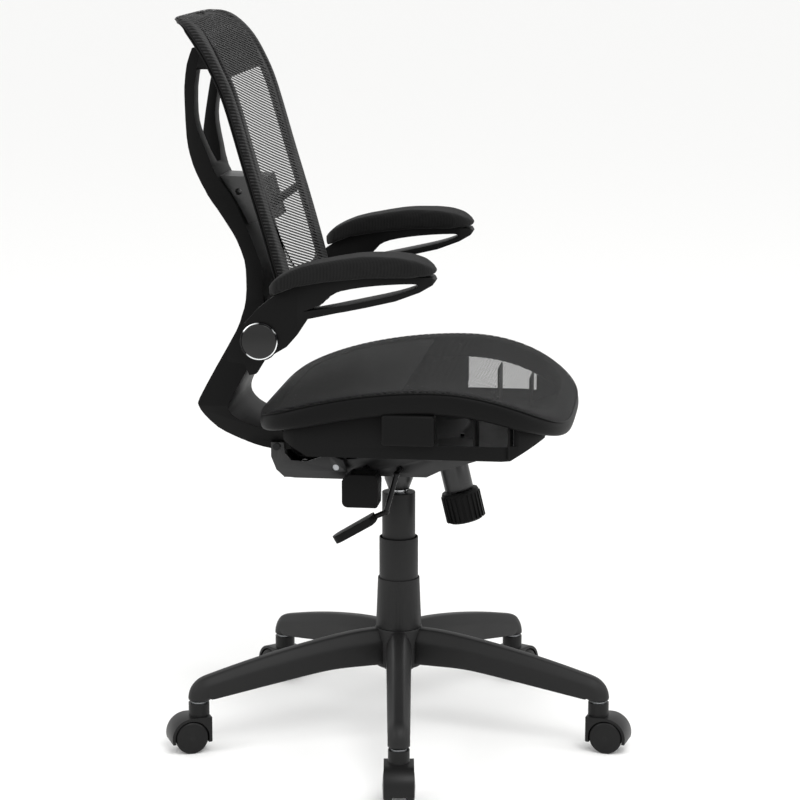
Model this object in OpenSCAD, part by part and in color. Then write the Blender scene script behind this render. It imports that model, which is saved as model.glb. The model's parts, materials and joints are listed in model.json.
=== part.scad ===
// Swivel office chair with mesh seat and mesh back, flip-up arms and a five-leg caster base.
// Millimetres. +X is the way the sitter faces, +Z is up, the origin is on the floor
// on the swivel axis.

/* [Base] */
// Distance from the swivel axis to each caster stem
leg_reach = 320; // [270:1:360]
// How far the base is turned about the swivel axis, degrees
base_turn = 7.4; // [-36:0.1:36]
// Height of the hub's top face
hub_top = 168; // [150:1:185]
// Outside radius of the hub
hub_r = 37; // [32:1:44]
// Width of a leg where it leaves the hub
leg_w_root = 40; // [34:1:48]
// Width of a leg at its caster end
leg_w_tip = 33; // [28:1:38]
// Wall of the moulded legs
leg_wall = 4; // [3:0.5:6]

/* [Casters] */
// Diameter of a caster wheel
wheel_d = 50; // [40:1:56]
// Width of one wheel of a pair
wheel_w = 13.5; // [10:0.5:16]
// Trail: distance from the stem axis back to the wheel axle
caster_trail = 16; // [12:1:20]
// Radius of the caster stem
stem_r = 5.5; // [4.5:0.5:6]
// Half width of the web between the two wheels
web_half = 10; // [8:0.5:12]
// Thickness of the hood over the wheels
hood_t = 4.5; // [3:0.5:6]
// Radius of the caster axle
axle_r = 3; // [2.5:0.5:4]

/* [Gas lift] */
// Outside radius of the outer tube
tube_r = 23.6; // [21:0.1:25]
// Wall of the outer tube
tube_wall = 1.6; // [1.2:0.1:2.5]
// Radius of the bright pressure cylinder
cyl_r = 14; // [12:0.5:15]
// Radius of the piston rod
rod_r = 5; // [4:0.5:6]
// Travel down from the height it is set at
travel_down = 85; // [60:1:88]
// Travel up from the height it is set at
travel_up = 15; // [0:1:15]
// Wall of the telescopic covers
cover_wall = 1.4; // [1.2:0.1:2]
// Visible length of the lower cover
cover_low_len = 78; // [60:1:84]

/* [Mechanism] */
// Height of the mechanism's floor above the ground, at the height it is set at
mech_z = 416; // [400:1:430]
// Half width of the mechanism pan
mech_half = 52; // [44:1:58]
// Sheet thickness of the mechanism and its brackets
sheet = 3; // [2:0.5:4]
// Distance of the tilt axle in front of the swivel axis
tilt_x = 60; // [40:1:70]
// Height of the tilt axle above the mechanism floor
tilt_h = 38; // [34:1:40]
// Radius of the tilt axle
tilt_r = 6; // [5:0.5:8]
// Diameter of the tension knob
knob_d = 61; // [50:1:70]
// Length of the tension knob
knob_len = 48; // [36:1:56]
// Forward lean of the tension knob's axis, degrees
knob_lean = 13.4; // [5:0.1:18]

/* [Seat] */
// Overall width of the seat
seat_w = 500; // [440:1:560]
// Reach of the seat in front of the swivel axis
seat_front = 271; // [240:1:300]
// Reach of the seat behind the swivel axis
seat_rear = 190; // [170:1:205]
// Height of the seat's crest above the mechanism floor
seat_rise = 172; // [160:1:190]
// Width of the seat's moulded rim
rim_w = 30; // [24:1:36]
// Depth of the seat's moulded side band
band_h = 35; // [28:1:40]
// Wall of the carrier tub
tub_wall = 3; // [2.5:0.5:5]
// Thickness of the woven mesh as a solid sheet
mesh_t = 2; // [1.5:0.5:3]

/* [Back] */
// Overall width of the backrest
back_w = 380; // [320:1:420]
// Thickness of the backrest's frame
back_t = 14; // [10:1:20]
// Width of the backrest's side rim
back_rim = 30; // [20:1:40]
// Half width of the spine where it bends under the seat
spine_half = 98; // [80:1:110]
// Half width of the spine's foot in its bracket
foot_half = 60; // [50:1:62]
// Half spread of the two uprights at their top
top_spread = 112; // [95:1:125]
// Width of one upright
upright_w = 30; // [22:1:36]
// Distance of the recline pin behind the swivel axis
recline_x = 88; // [84:1:92]
// Height of the recline pin above the mechanism floor
recline_h = 14; // [12:1:18]

/* [Arms] */
// Distance from the chair's middle to the middle of an arm
arm_y = 262; // [250:1:290]
// Width of an arm pad
pad_w = 80; // [60:1:90]
// Thickness of the arm at its pivot
arm_t = 22; // [18:1:26]
// Width of the arm's open loop
loop_w = 48; // [36:1:56]
// Radius of the pivot boss
boss_r = 29; // [26:1:32]
// Radius of the arm pivot pin
arm_pin_r = 8; // [6:0.5:10]

/* [Fits] */
// Radial clearance of shafts that turn or slide
run_gap = 0.05; // [0.02:0.01:0.1]
// Gap between moving faces
side_gap = 0.4; // [0.3:0.1:1]
// Radial clearance of parts pushed together for good
push_gap = 0.02; // [0.01:0.01:0.05]

/* [Hidden] */
$fn = 64;
e = 0.01;

legs = 5;
leg_angle = [for (i = [0:legs - 1]) base_turn - 90 + i * 72];
neck_r = 17;
neck_z = wheel_d + 27;
wheel_r = wheel_d / 2;
hood_r = wheel_r + 1.5 + hood_t;
flange_t = 2;
stem_top = neck_z + 24;
tube_bot = 100;
plate_t = 4;
bear_t = 6;
tube_top = hub_top + 117;
cover_top = mech_z - 35;
mid_cover_top = hub_top + cover_low_len + 64;
mid_cover_bot = hub_top + travel_down / 2 + 5;
top_cover_bot = mid_cover_top - 24;
top_cover_r = tube_r + 0.6 + cover_wall;
mid_cover_r = top_cover_r + 3 + cover_wall;
low_cover_r = mid_cover_r + 0.8 + cover_wall;
cyl_bot = tube_bot + plate_t + bear_t + 4 + travel_down + 2;
cyl_top = mech_z + 20;
rod_top = cyl_top - 10 - travel_down - 8;
bush_len = 50;

// mechanism and seat heights, all counted from the mechanism floor
tilt_z = mech_z + tilt_h;
plate_z = mech_z + 63;
tub_z = plate_z + sheet;
crest_z = mech_z + seat_rise;
crest_x = 80;
rear_arc = 714;
front_arc = 310;
ear_in = mech_half + 1;
pin_y = ear_in + 2 * sheet + 3;
recline_z = mech_z + recline_h;
knob_top = [94, 0, mech_z - 30];

// spine heights
pivot_x = -165;
pivot_z = mech_z + 244;
wing_y = arm_y - arm_t / 2 - side_gap;

// ---- curves ----

// smooth curve through a few points, n steps between neighbours
function cr(a, b, c, d, t) = 0.5 * (2 * b + (c - a) * t + (2 * a - 5 * b + 4 * c - d) * t * t
    + (3 * b - a - 3 * c + d) * t * t * t);
function smooth(p, n = 4) = let (m = len(p) - 1) concat([for (i = [0:m - 1], k = [0:n - 1])
    cr(p[max(i - 1, 0)], p[i], p[i + 1], p[min(i + 2, m)], k / n)], [p[m]]);
// the same path moved sideways by d, to its left
function unit(v) = v / norm(v);
function side(p, i) = let (m = len(p) - 1, t = unit(p[min(i + 1, m)] - p[max(i - 1, 0)]))
    [-t[1], t[0]];
function shifted(p, d) = [for (i = [0:len(p) - 1]) p[i] + d * side(p, i)];
function flip(p) = [for (i = [len(p) - 1:-1:0]) p[i]];
// a band of thickness d to the left of a path
function band(p, d0, d1) = concat(shifted(p, d0), flip(shifted(p, d1)));

// leg: top and underside heights at a distance r from the swivel axis
function leg_top(r) = min(hub_top - 0.6, hub_top + 2 - 0.11 * (r - hub_r) - 0.00034 * pow(r - hub_r, 2));
function leg_low(r) = hub_top - 57 - 0.165 * max(r - 115, 0);

// seat: height of the top surface, and half width, at a distance x
function drop(x) = let (r = x < crest_x ? rear_arc : front_arc) r - sqrt(r * r - pow(x - crest_x, 2));
function seat_z(x) = crest_z - drop(x);
function band_depth(x) = band_h - (x > 200 ? (x - 200) * 0.15 : 0) - (x < -100 ? (-100 - x) * 0.08 : 0);
seat_mid = 40;
function seat_half(x, inset) = let (
    a = x < seat_mid ? (seat_mid - x) / (seat_rear + seat_mid - inset)
                     : (x - seat_mid) / (seat_front - seat_mid - inset),
    n = x < seat_mid ? 5.4 : 3.8)
    (seat_w / 2 - inset) * pow(max(0, 1 - pow(a, n)), 1 / n);
// plan outline of the seat, moved inwards by inset
function seat_plan(inset) = let (
    x0 = -seat_rear + inset, x1 = seat_front - inset, n = 40,
    xs = [for (i = [0:n]) (x0 + x1) / 2 - (x1 - x0) / 2 * cos(180 * i / n)])
    concat([for (x = xs) [x, -seat_half(x, inset)]], [for (i = [n - 1:-1:1]) [xs[i], seat_half(xs[i], inset)]]);

// backrest: side profile of its front face, from the bottom to the curled top
back_front = smooth([for (q = [[-129, 272], [-158, 380], [-187, 478], [-215, 574], [-233, 618],
    [-256, 654], [-284, 682], [-312, 689], [-334, 683]]) [q[0], mech_z + q[1]]], 5);
// backrest: outline seen from the front, half of it
back_low = mech_z + 272;
back_high = mech_z + 694;
function back_outline(inset) = let (w = back_w / 2 - inset, z0 = back_low + inset, r0 = 40,
    z1 = back_high - inset, rz = 75, rw = w * 0.8)
    concat([for (a = [0:15:90]) [w - r0 + r0 * sin(a), z0 + r0 - r0 * cos(a)]],
           [for (a = [0:7.5:90]) [w - rw + rw * cos(a), z1 - rz + rz * sin(a)]],
           [for (a = [90:-7.5:0]) [-(w - rw + rw * cos(a)), z1 - rz + rz * sin(a)]],
           [for (a = [90:-15:0]) [-(w - r0 + r0 * sin(a)), z0 + r0 - r0 * cos(a)]]);

// spine: side profile, rear face from the top down to the foot, then the front face up
spine_rear = [[-287, 648], [-296, 624], [-301, 594], [-304, 564], [-307, 514], [-305, 484],
    [-298, 458], [-283, 424], [-268, 404], [-250, 379], [-237, 359], [-224, 329], [-219, 304],
    [-217, 274], [-223, 251], [-232, 227], [-263, 172], [-289, 124], [-291, 112], [-284, 96],
    [-266, 74], [-244, 60], [-223, 50], [-200, 43], [-180, 40], [-158, 40]];
spine_front = [[-158, 69], [-190, 72], [-214, 80], [-231, 88], [-243, 99], [-246, 110],
    [-242, 122], [-233, 138], [-205, 190], [-190, 225], [-187, 255], [-191, 279], [-196, 317],
    [-203, 334], [-215, 362], [-237, 407], [-258, 440], [-270, 459], [-279, 489], [-289, 524],
    [-291, 550], [-287, 589], [-281, 620], [-274, 646]];

// ---- shared shapes ----

// extrude a side view (x, z) across the chair from y0 to y1
module across(y0, y1) {
    translate([0, y1, 0]) rotate([90, 0, 0]) linear_extrude(y1 - y0) children();
}
// extrude a front view (y, z) along the chair from x0 to x1
module along(x0, x1) {
    translate([x0, 0, 0]) rotate([90, 0, 90]) linear_extrude(x1 - x0) children();
}
module rod_y(r, y0, y1, x, z) {
    translate([x, y1, z]) rotate([90, 0, 0]) cylinder(r = r, h = y1 - y0);
}
module ring(ro, ri, z0, z1) {
    translate([0, 0, z0]) difference() {
        cylinder(r = ro, h = z1 - z0);
        translate([0, 0, -1]) cylinder(r = ri, h = z1 - z0 + 2);
    }
}
// lay something out at the stem of leg i, with +X pointing outwards
module at_leg(i) {
    rotate([0, 0, leg_angle[i]]) translate([leg_reach, 0, 0]) children();
}
// along the tension knob's axis, origin at the knob's top, +Z up the axis
module on_knob_axis() {
    translate(knob_top) rotate([0, -knob_lean, 0]) children();
}

// ---- base ----

module leg_side(cut) {
    rs = [hub_r - 14, 70, 110, 150, 190, 230, 270, 295];
    polygon(concat(
        [for (r = rs) [r, leg_top(r) - cut]],
        cut > 0 ? [[leg_reach - neck_r - 5, leg_top(leg_reach - neck_r) - cut - 2], [leg_reach - neck_r - 5, 0]]
                : [for (a = [70:-14:0]) [leg_reach - 13 + 30 * cos(a), leg_top(leg_reach) - 26 + 28 * sin(a)]],
        cut > 0 ? [[hub_r - 14, 0]]
                : concat([[leg_reach + neck_r, neck_z], [leg_reach - neck_r, neck_z]],
                         [for (r = [leg_reach - neck_r, 250, 200, 150, 115, hub_r - 14]) [r, leg_low(r)]])));
}
module leg_plan(cut) {
    polygon([[0, -leg_w_root / 2 + cut], [leg_reach, -leg_w_tip / 2 + cut],
        [leg_reach, leg_w_tip / 2 - cut], [0, leg_w_root / 2 - cut]]);
    if (cut == 0) translate([leg_reach, 0]) circle(r = neck_r);
}
module leg_block(cut) {
    intersection() {
        across(-30, 30) leg_side(cut);
        translate([0, 0, 1]) linear_extrude(220) leg_plan(cut);
    }
}
module star_base() {
    color("#333333") difference() {
        union() {
            for (a = leg_angle) rotate([0, 0, a]) difference() {
                leg_block(0);
                difference() {
                    leg_block(leg_wall);
                    for (r = [95, 140, 185, 230, 270]) translate([r, -30, 0]) cube([3, 60, 220]);
                    cylinder(r = hub_r + 4, h = 220);
                }
            }
            translate([0, 0, hub_top - 62]) cylinder(r = hub_r, h = 62);
        }
        translate([0, 0, 1]) cylinder(r = tube_r + push_gap, h = 300);
        for (i = [0:legs - 1]) at_leg(i) translate([0, 0, 1]) cylinder(r = stem_r + push_gap, h = stem_top);
    }
}
module caster_stems() {
    color("#8a8c8e") for (i = [0:legs - 1]) at_leg(i) {
        translate([0, 0, wheel_d]) cylinder(r = stem_r, h = stem_top - wheel_d);
        translate([0, 0, neck_z - flange_t]) cylinder(r = 12, h = flange_t);
    }
}
module lower_cover() {
    color("#303030") translate([0, 0, hub_top]) difference() {
        cylinder(r1 = low_cover_r + 3, r2 = low_cover_r, h = cover_low_len);
        translate([0, 0, -e]) cylinder(r1 = low_cover_r + 3 - cover_wall, r2 = low_cover_r - cover_wall,
            h = cover_low_len + 2 * e);
    }
}
module gas_outer_tube() {
    color("#1d1d1f") difference() {
        translate([0, 0, tube_bot]) cylinder(r = tube_r, h = tube_top - tube_bot);
        translate([0, 0, tube_bot + plate_t]) cylinder(r = tube_r - tube_wall, h = tube_top);
        translate([0, 0, 1]) cylinder(r = rod_r + run_gap, h = 200);
    }
}
module guide_bushing() {
    color("#d8d8d0") ring(tube_r - tube_wall - push_gap, cyl_r + run_gap, tube_top - bush_len, tube_top - 1);
}
module thrust_bearing() {
    color("#b8babc") ring(rod_r + 9, rod_r + 1, tube_bot + plate_t, tube_bot + plate_t + bear_t);
}
module mid_cover() {
    color("#303030") ring(mid_cover_r, mid_cover_r - cover_wall, mid_cover_bot, mid_cover_top);
}

// ---- casters: pin axis at the origin, the wheels trail along +X ----

module hood_outline() {
    translate([caster_trail, wheel_r]) circle(r = hood_r);
    translate([-15, wheel_r - 7]) square([caster_trail + 15, hood_r + 7]);
}
module caster_housing() {
    gap_r = wheel_r + 1.5;
    difference() {
        union() {
            intersection() {
                across(-22, 22) hood_outline();
                translate([-40, -30, wheel_r - 8]) cube([120, 60, 80]);
            }
            translate([0, 0, wheel_r + 20]) cylinder(r = 15.8, h = neck_z - flange_t - wheel_r - 20);
        }
        for (s = [-1, 1]) rod_y(gap_r, min(s * web_half, s * 40), max(s * web_half, s * 40), caster_trail, wheel_r);
        translate([0, 0, wheel_d - 1]) cylinder(r = stem_r + run_gap, h = 60);
        rod_y(axle_r + push_gap, -30, 30, caster_trail, wheel_r);
    }
    rod_y(axle_r, -web_half - wheel_w + 3.5, web_half + wheel_w - 3.5, caster_trail, wheel_r);
}
module caster_wheel(s) {
    y0 = web_half + side_gap;
    translate([caster_trail, 0, wheel_r]) rotate([s * -90, 0, 0]) difference() {
        translate([0, 0, y0]) rotate_extrude() polygon(concat([[0, 0], [wheel_r - 1, 0], [wheel_r, 1]],
            [for (a = [0:15:90]) [wheel_r - 5 + 5 * cos(a), wheel_w - 5 + 3.5 * sin(a)]],
            [[wheel_r - 8, wheel_w - 1], [0, wheel_w]]));
        translate([0, 0, y0 - 1]) cylinder(r = axle_r + run_gap, h = wheel_w - 2.5);
    }
}

// ---- gas lift, moving part ----

module piston_rod() {
    color("#c9cbcd") {
        translate([0, 0, tube_bot - 6]) cylinder(r = rod_r, h = rod_top - tube_bot + 6);
        translate([0, 0, tube_bot + plate_t + bear_t]) cylinder(r = rod_r + 7, h = 3);
        translate([0, 0, rod_top - 8]) cylinder(r = cyl_r - 2.5 - run_gap, h = 8);
    }
}
module pressure_cylinder() {
    color("#c9cbcd") difference() {
        translate([0, 0, cyl_bot]) cylinder(r = cyl_r, h = cyl_top - cyl_bot);
        translate([0, 0, cyl_bot + 10]) cylinder(r = cyl_r - 2.5, h = cyl_top - cyl_bot - 20);
        translate([0, 0, cyl_bot - 1]) cylinder(r = rod_r + run_gap, h = 20);
        translate([0, 0, cyl_top - 11]) cylinder(r = 4 + push_gap, h = 20);
    }
}
module release_pin() {
    color("#c9cbcd") translate([0, 0, cyl_top - 9]) cylinder(r = 4, h = 16);
}
module top_cover() {
    color("#303030") difference() {
        translate([0, 0, top_cover_bot]) cylinder(r = top_cover_r, h = cover_top - top_cover_bot);
        translate([0, 0, top_cover_bot - 1]) cylinder(r = top_cover_r - cover_wall, h = cover_top - top_cover_bot - 1);
        translate([0, 0, cover_top - 10]) cylinder(r = cyl_r + push_gap, h = 20);
    }
}

// ---- tilt mechanism ----

pan_side = [[-97, 0], [49, 0], [69, 10], [124, 27], [126, 40], [100, 50], [40, 50], [-60, 26], [-97, 22]];
pan_inner = [[-94, 3], [48, 3], [67, 13], [121, 30], [123, 60], [-94, 60]];
module mechanism_housing() {
    color("#1c1c1e") difference() {
        union() {
            translate([0, 0, mech_z]) difference() {
                across(-mech_half, mech_half) polygon(pan_side);
                across(-mech_half + sheet, mech_half - sheet) polygon(pan_inner);
            }
            // cone that seats on the gas cylinder
            translate([0, 0, mech_z - 30]) cylinder(r1 = cyl_r + 2, r2 = cyl_r + 8, h = 16);
            translate([0, 0, mech_z - 14]) cylinder(r = cyl_r + 8, h = 32);
            // cup for the tension spring
            on_knob_axis() translate([0, 0, 2]) cylinder(r = 22, h = 44);
        }
        translate([0, 0, 1]) cylinder(r = cyl_r + push_gap, h = 600);
        on_knob_axis() translate([0, 0, 5]) cylinder(r = 19, h = 60);
        on_knob_axis() translate([0, 0, -5]) cylinder(r = 6 + run_gap, h = 20);
        rod_y(tilt_r + push_gap, -80, 80, tilt_x, tilt_z);
        rod_y(4 + run_gap, -80, 0, -43, mech_z + 12);
        rod_y(4 + run_gap, -mech_half - 5, -mech_half + 7, 8, mech_z + 12);
    }
}
module tilt_axle() {
    color("#b8babc") rod_y(tilt_r, -pin_y, pin_y, tilt_x, tilt_z);
}
// coil spring round the tension bolt: a round wire swept along a helix
coil_r = 13;
coil_wire = 2;
coil_turns = 5;
coil_steps = 18;
module tension_spring() {
    n = coil_turns * coil_steps;
    m = 8;
    pts = [for (i = [0:n], k = [0:m - 1]) let (t = 360 * i / coil_steps, r = coil_r + coil_wire * cos(360 * k / m))
        [r * cos(t), r * sin(t), 8 + 32 * i / n + coil_wire * sin(360 * k / m)]];
    faces = concat([[for (k = [m - 1:-1:0]) k]],
        [for (i = [0:n - 1], k = [0:m - 1]) let (a = i * m + k, b = i * m + (k + 1) % m) [a, b, b + m, a + m]],
        [[for (k = [0:m - 1]) n * m + k]]);
    color("#9a9c9e") on_knob_axis() polyhedron(points = pts, faces = faces);
}
module tension_bolt() {
    color("#9a9c9e") on_knob_axis() {
        translate([0, 0, -30]) cylinder(r = 6, h = 78);
        translate([0, 0, 44]) cylinder(r = 16, h = 4);
    }
}
module tension_knob() {
    rk = knob_d / 2;
    color("#1b1b1b") on_knob_axis() difference() {
        union() {
            translate([0, 0, -knob_len]) rotate_extrude() polygon([[0, 0], [rk - 6, 0], [rk - 2.5, 3],
                [rk - 1.5, knob_len * 0.93], [rk - 3, knob_len], [0, knob_len]]);
            for (i = [0:23]) rotate([0, 0, i * 15]) translate([rk - 2.5, -1.7, -knob_len + 3])
                cube([2.5, 3.4, knob_len * 0.82]);
        }
        translate([0, 0, -32]) cylinder(r = 6 + run_gap, h = 40);
    }
}

// ---- levers ----

lift_y = -mech_half + 2;
lift_z = mech_z + 12;
module lift_lever_rod() {
    color("#b8babc") {
        rod_y(4, -90, lift_y + 12, 8, lift_z);
        translate([8, -90, lift_z]) rotate([0, 195, 0]) cylinder(r = 4, h = 60);
        translate([8, -90, lift_z]) sphere(r = 5);
        translate([8 - 60 * sin(15), -90, lift_z - 60 * cos(15)]) sphere(r = 5);
        lift_rod_end(4);
    }
}
// the rod's bent end, from the knee to inside the paddle
module lift_rod_end(r) {
    translate([8 - 60 * sin(15), -90, lift_z - 60 * cos(15)]) rotate([0, -115, 0]) cylinder(r = r, h = 34);
}
module lift_lever_paddle() {
    color("#1b1b1b") difference() {
        translate([8 - 60 * sin(15) - 20, -105, lift_z - 60 * cos(15) - 9.3]) rotate([0, -30, 0])
            translate([-50, 0, -6]) linear_extrude(12) {
                circle(r = 15);
                polygon([[0, -15], [50, -12], [54, 0], [54, 20], [50, 24], [0, 15]]);
            }
        lift_rod_end(4 + push_gap);
    }
}
module tilt_lock_lever() {
    color("#1b1b1b") {
        rod_y(4, -100, -mech_half + 20, -43, mech_z + 12);
        across(-124, -82) polygon(concat([[-70, -8]], [for (a = [180:22.5:270]) [-61.5 + 8.5 * cos(a), -24.5 + 8.5 * sin(a)]],
            [[-18.5, -33], [-16, -31], [-15, 5], [-20, 18], [-58, 18], [-70, 8]]) + [for (i = [0:11]) [0, mech_z]]);
    }
}
lever_x = -150;
lever_h = 8;
module recline_lever() {
    color("#1b1b1b") {
        rod_y(4, foot_half + 1, 128, lever_x, mech_z + lever_h);
        across(124, 132) polygon([for (q = [[-159, 6], [-156, 14], [-150, 17], [-144, 14], [-141, 6], [-139.5, -13],
            [-139.5, -21], [-160, -21]]) [q[0], mech_z + q[1]]]);
        across(131, 168) polygon([for (q = [[-195, -22], [-190, -27], [-144, -27], [-139, -22], [-139, -14], [-148, -11],
            [-188, -11], [-195, -16]]) [q[0], mech_z + q[1]]]);
    }
}

// ---- seat ----

plate_len = 230;
module seat_plate() {
    color("#1c1c1e") difference() {
        union() {
            translate([-110, -78, plate_z]) cube([plate_len, 156, sheet]);
            for (s = [-1, 1]) translate([0, s * (ear_in + sheet / 2) - sheet / 2, 0]) {
                across(0, sheet) polygon([[tilt_x - 22, plate_z + 1], [tilt_x - 12, tilt_z - 11], [tilt_x + 12, tilt_z - 11],
                    [tilt_x + 22, plate_z + 1]]);
                across(0, sheet) polygon([[-110, plate_z + 1], [-recline_x - 10, recline_z - 9], [-recline_x + 10, recline_z - 9],
                    [-62, plate_z + 1]]);
            }
        }
        rod_y(tilt_r + run_gap, -90, 90, tilt_x, tilt_z);
        rod_y(5 + push_gap, -90, 90, -recline_x, recline_z);
        seat_bolt_holes(3 + push_gap);
    }
}
module seat_bolt_holes(r) {
    for (x = [-95, 105], y = [-66, 66]) translate([x, y, plate_z - 1]) cylinder(r = r, h = sheet + tub_wall + 2);
}
module seat_bolts() {
    color("#3a3a3a") for (x = [-95, 105], y = [-66, 66]) translate([x, y, 0]) {
        translate([0, 0, plate_z - 4]) cylinder(r = 6, h = 4);
        translate([0, 0, plate_z]) cylinder(r = 3, h = sheet + tub_wall + 4);
    }
}
module recline_pin() {
    color("#b8babc") for (s = [-1, 1])
        rod_y(5, min(s * ear_in, s * pin_y), max(s * ear_in, s * pin_y), -recline_x, recline_z);
}
// side view of the tub under the seat, shrunk by its wall
tub_half = seat_w / 2 - rim_w - 1 + 3;
tub_x0 = -seat_rear + 48;
tub_x1 = seat_front - 35;
module tub_side(cut) {
    n = 14;
    polygon(concat([for (i = [0:n]) let (x = tub_x0 + cut + (tub_x1 - tub_x0 - 2 * cut) * i / n)
            [x, seat_z(x) - mesh_t - (cut > 0 ? 0 : band_depth(x) + 0.3)]],
        [[tub_x1 - cut, tub_z + 26], [tub_x1 - 46, tub_z + cut], [-106, tub_z + cut], [tub_x0 + cut, tub_z + 22]]));
}
slot_x = [84, 208];
slot_z = tub_z + 21;
module seat_carrier() {
    color("#262626") {
        difference() {
            intersection() {
                across(-tub_half, tub_half) tub_side(0);
                linear_extrude(900) polygon(seat_plan(16));
            }
            intersection() {
                across(-tub_half + tub_wall, tub_half - tub_wall) tub_side(tub_wall);
                linear_extrude(900) polygon(seat_plan(16 + tub_wall));
            }
            for (s = [-1, 1]) translate([slot_x[0], s * tub_half - 12, slot_z])
                cube([slot_x[1] - slot_x[0], 24, 100]);
            seat_bolt_holes(3 + push_gap);
        }
        // ribs that carry the rim across the side slots
        for (s = [-1, 1], x = [138, 188]) translate([x - 1.5, s > 0 ? tub_half - 60 : -tub_half, tub_z + tub_wall - e])
            cube([3, 60, seat_z(x + 2) - mesh_t - band_depth(x + 2) - tub_z - tub_wall - 0.3]);
    }
}
module seat_frame() {
    n = 30;
    x0 = -seat_rear - 1;
    x1 = seat_front + 1;
    xs = [for (i = [0:n]) x0 + (x1 - x0) * i / n];
    color("#262626") {
        intersection() {
            across(-400, 400) polygon(concat([for (x = xs) [x, seat_z(x) - mesh_t]],
                [for (i = [n:-1:0]) [xs[i], seat_z(xs[i]) - mesh_t - band_depth(xs[i])]]));
            linear_extrude(900) difference() {
                polygon(seat_plan(0));
                polygon(seat_plan(rim_w));
            }
        }
        // tabs that clip down over the carrier
        for (s = [-1, 1]) translate([6, s > 0 ? tub_half + 0.3 : -seat_w / 2 + 2, mech_z + 90])
            cube([77, seat_w / 2 - tub_half - 2.3, 46]);
    }
}
module seat_mesh() {
    n = 30;
    x0 = -seat_rear - 1;
    x1 = seat_front + 1;
    xs = [for (i = [0:n]) x0 + (x1 - x0) * i / n];
    color("#3c3c3c") intersection() {
        across(-400, 400) polygon(concat([for (x = xs) [x, seat_z(x)]],
            [for (i = [n:-1:0]) [xs[i], seat_z(xs[i]) - mesh_t]]));
        linear_extrude(900) polygon(seat_plan(0));
    }
}

// ---- back ----

module back_bracket() {
    prof = [for (q = [[-187, 29], [-179, 9], [-168, -1], [-151, -3], [-76, -3], [-70, 8], [-76, 26], [-99, 34],
        [-134, 22], [-157, 24], [-166, 34], [-167, 51], [-187, 51]]) [q[0], mech_z + q[1]]];
    in = foot_half + 2;
    color("#1c1c1e") difference() {
        union() {
            for (s = [-1, 1]) across(min(s * in, s * (in + sheet)), max(s * in, s * (in + sheet))) polygon(prof);
            translate([-168, -in, mech_z - 3]) cube([62, 2 * in, sheet]);
            across(-in, in) polygon([for (q = [[-187, 29], [-179, 9], [-168, -1], [-168, 3], [-177, 11], [-184, 29], [-184, 36], [-187, 36]])
                [q[0], mech_z + q[1]]]);
            for (s = [-1, 1]) translate([-187, min(s * foot_half, s * in) , mech_z + 34]) cube([20, 2, 17]);
        }
        rod_y(5 + run_gap, -100, 100, -recline_x, recline_z);
        rod_y(4 + run_gap, 20, 100, lever_x, mech_z + lever_h);
        for (x = [-178]) rod_y(3 + push_gap, -100, 100, x, mech_z + 45);
        translate([-146, 0, mech_z - 10]) cylinder(r = 4 + push_gap, h = 20);
    }
}
module back_bolts() {
    color("#3a3a3a") {
        translate([-146, 0, mech_z - 10]) cylinder(r = 8, h = 7);
        translate([-146, 0, mech_z - 3]) cylinder(r = 4, h = 14);
        translate([-146, 0, mech_z - 3 + sheet]) cylinder(r = 7, h = 6);
        rod_y(3, -foot_half - sheet - 4, foot_half + sheet + 4, -178, mech_z + 45);
        for (s = [-1, 1]) rod_y(5.5, s * (foot_half + sheet + 4) - 2, s * (foot_half + sheet + 4) + 2, -178, mech_z + 45);
    }
}
function spine_curve(p) = smooth(p, 2);
module spine_rear_view() {
    polygon([[-foot_half, mech_z + 30], [-foot_half, mech_z + 52], [-spine_half, mech_z + 112], [-spine_half, mech_z + 274],
        [-68, mech_z + 330], [-48, mech_z + 420], [-48, mech_z + 470], [48, mech_z + 470], [48, mech_z + 420],
        [68, mech_z + 330], [spine_half, mech_z + 274], [spine_half, mech_z + 112], [foot_half, mech_z + 52],
        [foot_half, mech_z + 30]]);
    // the two uprights spread towards the top of the back
    for (s = [-1, 1]) polygon([[s * 4, mech_z + 430], [s * 48, mech_z + 430], [s * 62, mech_z + 480],
        [s * (top_spread + upright_w / 2 - 12), mech_z + 590], [s * (top_spread + upright_w / 2), mech_z + 652],
        [s * (top_spread - upright_w / 2), mech_z + 652], [s * (top_spread - upright_w / 2 - 14), mech_z + 590],
        [s * 34, mech_z + 490], [s * 4, mech_z + 462]]);
}
module spine_frame() {
    side_view = [for (q = concat(spine_curve(spine_rear), spine_curve(spine_front))) [q[0], mech_z + q[1]]];
    color("#242424") difference() {
        union() {
            intersection() {
                across(-300, 300) polygon(side_view);
                along(-400, 0) spine_rear_view();
            }
            // wings out to the arm pivots, with the stop each arm rests on
            for (s = [-1, 1]) {
                across(min(s * 60, s * wing_y), max(s * 60, s * wing_y)) {
                    translate([pivot_x, pivot_z]) circle(r = boss_r - 2);
                    polygon([[-215, mech_z + 226], [-206, mech_z + 246], [-193, mech_z + 264], [-178, mech_z + 276], [pivot_x, pivot_z + boss_r - 2],
                        [pivot_x, pivot_z - boss_r + 2], [-186, mech_z + 205], [-216, mech_z + 210]]);
                }
                across(min(s * (wing_y - 14), s * wing_y), max(s * (wing_y - 14), s * wing_y))
                    polygon([[-156, pivot_z - 22], [-174, mech_z + 192], [-184, mech_z + 190], [-190, mech_z + 204], [-190, pivot_z - 10]]);
            }
        }
        rod_y(arm_pin_r + push_gap, -wing_y - 1, -wing_y + 40, pivot_x, pivot_z);
        rod_y(arm_pin_r + push_gap, wing_y - 40, wing_y + 1, pivot_x, pivot_z);
        rod_y(3 + push_gap, -100, 100, -178, mech_z + 45);
        for (s = [-1, 1]) translate([-320, s * top_spread, mech_z + 630]) rotate([0, 90, 0]) cylinder(r = 4 + push_gap, h = 100);
    }
}
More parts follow.
